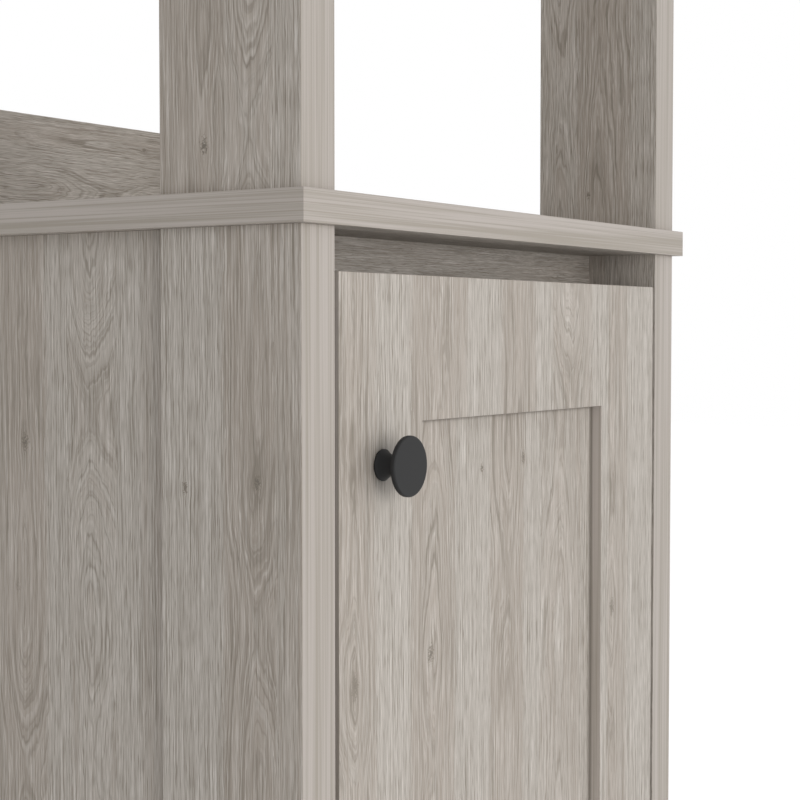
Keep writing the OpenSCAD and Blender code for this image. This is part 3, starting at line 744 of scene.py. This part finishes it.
def edge_colour(tree, place, normal, half, face, drilled_to):
    """The face's colour on the two faces, the edge band round them, and the core inside the holes. Nothing is
    drilled above drilled_to, so a recess there has the band on its walls."""
    across, along, depth = tree.split(place)
    inside = tree.math("LESS_THAN", depth, drilled_to)
    for offset, size in zip((across, along), half):
        within = tree.math("LESS_THAN", tree.math("ABSOLUTE", offset), abs(size) - BAND)
        inside = tree.math("MULTIPLY", within, inside)
    band, core = [fill(tree, group, Place=place)[0] for group in ("oak edge band", "board core")]
    edge = tree.blend(inside, band, core)
    square_on = tree.math("ABSOLUTE", tree.split(normal)[2])
    return tree.blend(tree.math("GREATER_THAN", square_on, FACE_NORMAL), edge, face)


def back_panel_material():
    """Thin hardboard: printed oak on the face towards the cupboard, bare and brown behind"""
    scene = bpy.context.scene
    bare = scene.cabinet_fittings.hardboard
    material, tree, shader = new_material("printed hardboard")
    turn = turned("X", "Z")
    place, normal = on_board(tree, turn, middle_and_half("back_panel", turn)[0])
    grain = sheet_print(tree, place, BACK_PANEL_SHEET)
    fibres = tree.ramp(tree.noise(place, 3.0, flat=False), 0.35, 0.65)
    brown = tree.blend(fibres, rgba(bare, 0.72), rgba(bare))
    inward = tree.math("GREATER_THAN", tree.split(normal)[2], FACE_NORMAL)
    tree.feed(shader.inputs["Base Color"], tree.blend(inward, brown, grain["Color"]))
    tree.feed(shader.inputs["Normal"], tree.bump(fibres, 0.2, 0.0001))
    paint(shader, Roughness=scene.cabinet_oak.roughness)
    return material


# Finishes of the fittings

def mottled(name, colour, depth, size, roughness, metallic=0.0, specular=0.5, relief=0.00003, spread=0.06):
    """A finish that varies in spots of a size in millimetres: its colour down to the share depth, its
    roughness by spread to both sides, and its height by relief"""
    material, tree, shader = new_material(name)
    place = tree.mapped(tree.coordinate("Object"), Scale=(1 / (size * MM),) * 3)
    spots = tree.noise(place, 3.0, 0.6, flat=False)
    even = tree.ramp(spots, 0.25, 0.75)
    tree.feed(shader.inputs["Base Color"], tree.blend(even, rgba(colour, depth), rgba(colour)))
    uneven = tree.ramp(spots, 0.25, 0.75, roughness - spread, roughness + spread)
    tree.feed(shader.inputs["Roughness"], uneven)
    tree.feed(shader.inputs["Normal"], tree.bump(spots, 0.4, relief))
    paint(shader, Metallic=metallic, Specular_IOR_Level=specular)
    return material


def beech(axis, colour):
    """Dowel wood with its fibres along one axis"""
    material, tree, shader = new_material("beech along " + axis)
    scale = [1 / MM] * 3
    scale["XYZ".index(axis)] = 0.05 / MM
    place = tree.mapped(tree.coordinate("Object"), Scale=scale)
    fibres = tree.ramp(tree.noise(place, 3.0, flat=False), 0.3, 0.7)
    tree.feed(shader.inputs["Base Color"], tree.blend(fibres, rgba(colour, 0.75), rgba(colour)))
    paint(shader, Roughness=0.6)
    return material


# Pieces

def new_piece(name, shape, material, body, slot, *replaced):
    """Makes a piece of a bmesh that is already in place, and puts it in the frame for what it replaces"""
    bmesh.ops.recalc_face_normals(shape, faces=shape.faces)
    mesh = bpy.data.meshes.new(name)
    shape.to_mesh(mesh)
    shape.free()
    mesh.polygons.foreach_set("use_smooth", [True] * len(mesh.polygons))
    mesh.set_sharp_from_angle(angle=math.radians(35))
    mesh.materials.append(material)
    piece = bpy.data.objects.new(name, mesh)
    bpy.context.scene.collection.objects.link(piece)
    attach(piece, body)
    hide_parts(*replaced)
    return piece


def islands(node):
    """The boxes of a solid's loose parts, each a lowest and a highest corner"""
    shape = bmesh.new()
    shape.from_mesh(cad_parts[node].data)
    bmesh.ops.remove_doubles(shape, verts=shape.verts, dist=SAME_PLACE)
    left = set(shape.verts)
    boxes = []
    while left:
        found, ahead = set(), [left.pop()]
        while ahead:
            vert = ahead.pop()
            found.add(vert)
            near = {edge.other_vert(vert) for edge in vert.link_edges} & left
            left -= near
            ahead.extend(near)
        boxes.append(box_round([vert.co for vert in found]))
    shape.free()
    return boxes


def cross_head(radius, height, crown, recess):
    """A round head with a cross recess, its foot on z = 0 and its face upwards"""
    cells, cross_cells = 7, 5
    shape = bmesh.new()
    bmesh.ops.create_grid(shape, x_segments=cells, y_segments=cells, size=1.0)
    for vert in shape.verts:
        x, y = vert.co.x, vert.co.y
        vert.co.x = radius * x * math.sqrt(1 - y * y / 2)
        vert.co.y = radius * y * math.sqrt(1 - x * x / 2)
        vert.co.z = height - crown * (vert.co.xy.length / radius) ** 2
    rim = [edge for edge in shape.edges if edge.is_boundary]
    sink_cross(shape, radius / cells, radius * cross_cells / cells, recess)
    for vert in verts_in(bmesh.ops.extrude_edge_only(shape, edges=rim)):
        vert.co.z = 0.0
    bmesh.ops.bevel(shape, geom=rim, offset=HEAD_EDGE * min(height, radius), offset_type="OFFSET", segments=2,
                    profile=0.5, affect="EDGES", material=-1)
    open_edges = [edge for edge in shape.edges if edge.is_boundary]
    bmesh.ops.contextual_create(shape, geom=open_edges)
    return shape


def sink_cross(shape, arm, reach, recess):
    """Sinks the faces in a cross into a grid, and makes its floor narrower"""
    cross = [face for face in shape.faces if in_cross(face.calc_center_median(), arm, reach)]
    floor = verts_in(bmesh.ops.extrude_face_region(shape, geom=cross))
    bmesh.ops.delete(shape, geom=cross, context="FACES")
    bmesh.ops.translate(shape, verts=floor, vec=(0, 0, -recess))
    bmesh.ops.scale(shape, verts=floor, vec=(RECESS_TAPER, RECESS_TAPER, 1))


def verts_in(result):
    """The vertices that an extrusion made"""
    return [item for item in result["geom"] if isinstance(item, bmesh.types.BMVert)]


def in_cross(middle, arm, reach):
    """True in the arms of the cross"""
    across, along = sorted((abs(middle.x), abs(middle.y)))
    return across < arm and along < reach


def add_shape(whole, part, matrix):
    """Puts a copy of one bmesh into another"""
    mesh = bpy.data.meshes.new("part")
    part.to_mesh(mesh)
    mesh.transform(matrix)
    whole.from_mesh(mesh)
    bpy.data.meshes.remove(mesh)


def facing(direction, foot):
    """The matrix that stands a shape on foot, with its Z along direction"""
    return Matrix.Translation(foot) @ direction.to_track_quat("Z", "Y").to_matrix().to_4x4()


def soften(node, width, segments):
    """Rounds a solid's edges with modifiers and leaves its mesh alone"""
    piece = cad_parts[node]
    weld = piece.modifiers.new("Weld", "WELD")
    weld.merge_threshold = SAME_PLACE
    flat = piece.modifiers.new("Flat faces", "DECIMATE")
    flat.decimate_type = "DISSOLVE"
    flat.angle_limit = math.radians(0.5)
    bevel = piece.modifiers.new("Round edges", "BEVEL")
    bevel.width = width
    bevel.segments = segments
    bevel.limit_method = "ANGLE"
    bevel.angle_limit = math.radians(40)
    bevel.use_clamp_overlap = False
    bevel.harden_normals = True


def finish_node(node, material):
    """Puts one material on a solid that stays as it is"""
    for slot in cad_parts[node].material_slots:
        slot.material = material


def dress(nodes, material, width, segments=2):
    """Rounds the edges of some solids and puts one material on them"""
    for node in nodes:
        soften(node, width, segments)
        finish_node(node, material)


def place_camera(stage):
    """Puts the camera at the photograph's place and angle"""
    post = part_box("lower_post_front_left")[0]
    corner = Vector((post.x, post.y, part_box("counter")[1].z))
    data = bpy.data.cameras.new("camera")
    data.lens = stage.lens
    data.sensor_width = 36.0
    data.clip_start = 0.01
    camera = bpy.data.objects.new("camera", data)
    camera.location = corner + Vector(stage.offset)
    camera.rotation_euler = (math.pi / 2 + stage.pitch, 0.0, -stage.yaw)
    bpy.context.scene.collection.objects.link(camera)
    bpy.context.scene.camera = camera


class CABINET_OT_print(bpy.types.Operator):
    """Makes the node groups of the oak print, the edge band and the boards' core"""

    bl_idname = "cabinet.print"
    bl_label = "Oak print"

    def execute(self, context):
        oak = context.scene.cabinet_oak
        build_knot_group()
        build_figure_group()
        build_strip_group(oak)
        build_grain_group(oak)
        build_edge_group(oak)
        build_core_group(oak)
        return {"FINISHED"}


class CABINET_OT_boards(bpy.types.Operator):
    """Gives every board of the carcass its rounded edges and its oak"""

    bl_idname = "cabinet.boards"
    bl_label = "Boards"

    def execute(self, context):
        for nodes, across, along, first, step in LAYINGS.values():
            for number, node in enumerate(nodes):
                oak = board_material(node, across, along, cut_at(first, step, number))
                dress([node], oak, context.scene.cabinet_edges.board)
        return {"FINISHED"}


def cut_at(first, step, number):
    """Where a board of a row is cut from the printed sheet, in millimetres"""
    return [start + pitch * number for start, pitch in zip(first, step)]


class CABINET_OT_door(bpy.types.Operator):
    """Gives the door its rounded edges and its oak, with the edge band on the walls of its recess"""

    bl_idname = "cabinet.door"
    bl_label = "Door"

    def execute(self, context):
        oak = board_material("door_leaf", "X", "Z", recessed=True)
        dress(["door_leaf"], oak, context.scene.cabinet_edges.board)
        return {"FINISHED"}


class CABINET_OT_back_panel(bpy.types.Operator):
    """Gives the back panel its print and its bare rear"""

    bl_idname = "cabinet.back_panel"
    bl_label = "Back panel"

    def execute(self, context):
        finish_node("back_panel", back_panel_material())
        return {"FINISHED"}


class CABINET_OT_dowels(bpy.types.Operator):
    """Gives the dowels their wood, and the screw caps the print of the top panel that they lie in"""

    bl_idname = "cabinet.dowels"
    bl_label = "Dowels and caps"

    def execute(self, context):
        colour = context.scene.cabinet_fittings.beech
        for axis, nodes in DOWELS.items():
            dress(nodes, beech(axis, colour), context.scene.cabinet_edges.metal)
        nodes, across, along, first, step = LAYINGS["flat"]
        sheet = cut_at(first, step, nodes.index("top_panel"))
        finish_node("screw_caps", board_material("screw_caps", across, along, sheet, wrapped=True))
        return {"FINISHED"}


class CABINET_OT_knob(bpy.types.Operator):
    """Turns the knob: a foot, a waist and a flat disc with a round rim"""

    bl_idname = "cabinet.knob"
    bl_label = "Knob"

    def execute(self, context):
        shape_of = context.scene.cabinet_knob
        low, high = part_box("knob")
        length = high.y - low.y
        outline = knob_outline((high.x - low.x) / 2, length, shape_of)
        shape = bmesh.new()
        points = [shape.verts.new((radius, -out, 0)) for out, radius in outline]
        edges = [shape.edges.new(pair) for pair in zip(points, points[1:])]
        bmesh.ops.spin(shape, geom=points + edges, cent=(0, 0, 0), axis=(0, 1, 0), angle=2 * math.pi,
                       steps=shape_of.steps, use_merge=True)
        bmesh.ops.remove_doubles(shape, verts=shape.verts, dist=SAME_PLACE / 2)
        seat = ((low.x + high.x) / 2, high.y, (low.z + high.z) / 2)
        bmesh.ops.translate(shape, verts=shape.verts, vec=seat)
        colour = context.scene.cabinet_fittings.knob
        coat = mottled("black powder coat", colour, depth=0.88, size=0.35, roughness=0.42, specular=0.10,
                       relief=0.00001)
        new_piece("turned_knob", shape, coat, "door", "black_metal", "knob")
        return {"FINISHED"}


def knob_outline(disc_r, length, shape_of):
    """(distance from the door, radius) pairs from the axis at the foot to the axis at the face"""
    foot_r, neck_r, thick, rim = shape_of.foot / 2, shape_of.neck / 2, shape_of.disc, shape_of.rim
    foot_edge, foot_rim = 0.5 * MM, 1.0 * MM
    edge_bulge = 0.3 * foot_edge
    throat = 2.0 * MM
    waist_end = length - thick - throat
    points = [(0, 0), (0, foot_r - foot_edge), (edge_bulge, foot_r - edge_bulge), (foot_edge, foot_r)]
    waist_steps = 10
    for step in range(waist_steps + 1):
        left = 1 - step / waist_steps
        narrowed = neck_r + (foot_r - neck_r) * left ** shape_of.flare
        points.append((waist_end - (waist_end - foot_rim) * left, narrowed))
    points.append((waist_end + 0.6 * throat, neck_r + 0.25 * throat))
    points.append((waist_end + throat, neck_r + 0.75 * throat))
    rim_steps = 6
    for round_r, middle, start in ((rim / 2, length - thick + rim / 2, -90), (rim, length - rim, 0)):
        for step in range(rim_steps + 1):
            turn = math.radians(start + 90 / rim_steps * step)
            points.append((middle + round_r * math.sin(turn), disc_r - round_r + round_r * math.cos(turn)))
    points.append((length, disc_r - 1.6 * rim))
    points.append((length, 0))
    return points


class CABINET_OT_screws(bpy.types.Operator):
    """Gives the screws that can be seen their heads with a cross recess"""

    bl_idname = "cabinet.screws"
    bl_label = "Screws"

    def execute(self, context):
        nickel = metal("nickel plate", context.scene.cabinet_fittings.nickel, 0.30)
        for node, (body, direction, head_t, shank_d) in SCREWS.items():
            shape = bmesh.new()
            for low, high in islands(node):
                add_screw(shape, low, high, Vector(direction), head_t * MM, shank_d * MM)
            new_piece("cross_" + node, shape, nickel, body, "nickel_steel", node)
        return {"FINISHED"}


def add_screw(whole, low, high, direction, head_t, shank_d):
    """One screw in the box of its solid, with its head at the end that direction points to"""
    size = high - low
    length = abs(size.dot(direction))
    head_r = (sum(size) - length) / 4
    middle = (low + high) / 2
    foot = middle + direction * (length / 2 - head_t)
    head = cross_head(head_r, head_t, HEAD_CROWN * head_t, HEAD_RECESS * head_t)
    add_shape(whole, head, facing(direction, foot))
    head.free()
    shank = bmesh.new()
    bmesh.ops.create_cone(shank, cap_ends=True, segments=20, radius1=SHANK_TIP * shank_d / 2,
                          radius2=shank_d / 2, depth=length - head_t)
    add_shape(whole, shank, facing(direction, foot - direction * (length - head_t) / 2))
    shank.free()


class CABINET_OT_cam_locks(bpy.types.Operator):
    """Gives the cam locks under the shelves their faces with a cross recess"""

    bl_idname = "cabinet.cam_locks"
    bl_label = "Cam locks"

    def execute(self, context):
        zinc = metal("cast zinc", context.scene.cabinet_fittings.zinc, 0.48)
        shape = bmesh.new()
        for low, high in islands("cam_locks"):
            size = high - low
            cam = cross_head(size.x / 2, size.z, 0.0, CAM_RECESS)
            seat = Vector(((low.x + high.x) / 2, (low.y + high.y) / 2, high.z))
            add_shape(shape, cam, facing(-AXES["Z"], seat))
            cam.free()
        new_piece("cross_cam_locks", shape, zinc, "carcass", "nickel_steel", "cam_locks")
        return {"FINISHED"}


class CABINET_OT_hinges(bpy.types.Operator):
    """Gives the hinges, bolts, nails and shelf pins their rounded edges and plated steel"""

    bl_idname = "cabinet.hinges"
    bl_label = "Hinges and steel fittings"

    def execute(self, context):
        nickel = metal("nickel plate", context.scene.cabinet_fittings.nickel, 0.30)
        dress(STEEL, nickel, context.scene.cabinet_edges.metal)
        return {"FINISHED"}


def metal(name, colour, roughness):
    """A plated or cast metal, made once"""
    made = bpy.data.materials.get(name)
    return made or mottled(name, colour, depth=0.96, size=2.5, roughness=roughness, metallic=1.0,
                           relief=0.000003, spread=0.025)


class CABINET_OT_catch(bpy.types.Operator):
    """Gives the magnetic catch its plastic housing and its magnet"""

    bl_idname = "cabinet.catch"
    bl_label = "Magnetic catch"

    def execute(self, context):
        edges, colours = context.scene.cabinet_edges, context.scene.cabinet_fittings
        plastic = mottled("pale plastic", colours.pale_plastic, depth=0.94, size=0.6, roughness=0.45)
        dress(["catch_housing"], plastic, edges.plastic, segments=3)
        ferrite = mottled("ferrite", colours.magnet, depth=0.7, size=0.4, roughness=0.6)
        dress(["catch_magnet"], ferrite, edges.metal)
        return {"FINISHED"}


class CABINET_OT_glides(bpy.types.Operator):
    """Gives the glides under the posts their rounded edges and black plastic"""

    bl_idname = "cabinet.glides"
    bl_label = "Glides"

    def execute(self, context):
        colour = context.scene.cabinet_fittings.black_plastic
        plastic = mottled("black plastic", colour, depth=0.8, size=0.5, roughness=0.5)
        dress(GLIDES, plastic, context.scene.cabinet_edges.plastic, segments=3)
        return {"FINISHED"}


class CABINET_OT_stage(bpy.types.Operator):
    """Sets the floor, the lamps, the sky and the camera"""

    bl_idname = "cabinet.stage"
    bl_label = "Stage"

    def execute(self, context):
        stage = context.scene.cabinet_stage
        place_camera(stage)
        build_floor(stage)
        light_stage(context.scene, stage)
        context.scene.view_settings.view_transform = "Standard"
        return {"FINISHED"}


def build_floor(stage):
    """A pale floor that the camera sees as white where nothing shades it"""
    mesh = bpy.data.meshes.new("floor")
    shape = bmesh.new()
    bmesh.ops.create_grid(shape, x_segments=1, y_segments=1, size=FLOOR_REACH)
    shape.to_mesh(mesh)
    shape.free()
    floor = bpy.data.objects.new("floor", mesh)
    bpy.context.scene.collection.objects.link(floor)
    material, tree, shader = new_material("pale floor")
    paint(shader, Base_Color=rgba(stage.floor), Roughness=0.9)
    strength = tree.math("MULTIPLY", seen_directly(tree), stage.glow)
    glow = tree.add("ShaderNodeEmission", {"Color": WHITE, "Strength": strength})
    total = tree.add("ShaderNodeAddShader", {0: shader.outputs[0], 1: glow.outputs[0]})
    tree.feed(material.node_tree.nodes["Material Output"].inputs["Surface"], total.outputs[0])
    mesh.materials.append(material)


def seen_directly(tree):
    """1 for rays from the camera, and for those that a mirror or glass sends on"""
    path = tree.add("ShaderNodeLightPath").outputs
    straight = tree.math("ADD", path["Is Camera Ray"], path["Is Glossy Ray"])
    return tree.math("MINIMUM", tree.math("ADD", straight, path["Is Transmission Ray"]), 1.0)


def light_stage(scene, stage):
    """An even sky, which the camera sees as white, and two large lamps in front"""
    world = bpy.data.worlds.new("even sky")
    world.use_nodes = True
    tree = Tree(world.node_tree)
    background = world.node_tree.nodes["Background"]
    background.inputs["Color"].default_value = WHITE
    tree.feed(background.inputs["Strength"], tree.math("MAXIMUM", seen_directly(tree), stage.sky))
    scene.world = world
    for side, power in zip(SIDES, (stage.left_lamp, stage.right_lamp)):
        add_lamp(scene, side + " lamp", power, LAMP_PLACES[side])


def add_lamp(scene, name, power, place):
    """A large soft lamp that faces the middle of the cabinet"""
    lamp = bpy.data.lights.new(name, "AREA")
    lamp.shape = "RECTANGLE"
    lamp.size, lamp.size_y = LAMP_SIZE
    lamp.energy = power
    stand = bpy.data.objects.new(name, lamp)
    stand.location = place
    stand.rotation_euler = (Vector(LAMPS_AIM) - stand.location).to_track_quat("-Z", "Y").to_euler()
    scene.collection.objects.link(stand)


class CABINET_PT_panel(bpy.types.Panel):
    """Lists the cabinet's settings and steps"""

    bl_label = "Storage cabinet"
    bl_space_type = "VIEW_3D"
    bl_region_type = "UI"
    bl_category = "Cabinet"

    def draw(self, context):
        for operator in OPERATORS:
            self.layout.operator(operator.bl_idname)
        for name, group in SETTINGS.items():
            box = self.layout.box()
            for field in group.__annotations__:
                box.prop(getattr(context.scene, name), field)


SETTINGS = {
    "cabinet_oak": OakFinish,
    "cabinet_edges": EdgeShape,
    "cabinet_fittings": FittingFinish,
    "cabinet_knob": KnobShape,
    "cabinet_stage": StageSettings,
}
OPERATORS = (
    CABINET_OT_print, CABINET_OT_boards, CABINET_OT_door, CABINET_OT_back_panel, CABINET_OT_dowels,
    CABINET_OT_knob, CABINET_OT_hinges, CABINET_OT_screws, CABINET_OT_cam_locks, CABINET_OT_catch,
    CABINET_OT_glides, CABINET_OT_stage)


def register():
    for group in SETTINGS.values():
        bpy.utils.register_class(group)
    for name, group in SETTINGS.items():
        setattr(bpy.types.Scene, name, bpy.props.PointerProperty(type=group))
    for kind in (*OPERATORS, CABINET_PT_panel):
        bpy.utils.register_class(kind)


def unregister():
    for kind in (CABINET_PT_panel, *OPERATORS):
        bpy.utils.unregister_class(kind)
    for name, group in SETTINGS.items():
        delattr(bpy.types.Scene, name)
        bpy.utils.unregister_class(group)


def main():
    register()
    bpy.ops.cabinet.print()
    bpy.ops.cabinet.boards()
    bpy.ops.cabinet.door()
    bpy.ops.cabinet.back_panel()
    bpy.ops.cabinet.dowels()
    bpy.ops.cabinet.knob()
    bpy.ops.cabinet.hinges()
    bpy.ops.cabinet.screws()
    bpy.ops.cabinet.cam_locks()
    bpy.ops.cabinet.catch()
    bpy.ops.cabinet.glides()
    bpy.ops.cabinet.stage()


if __name__ == "__main__":
    main()
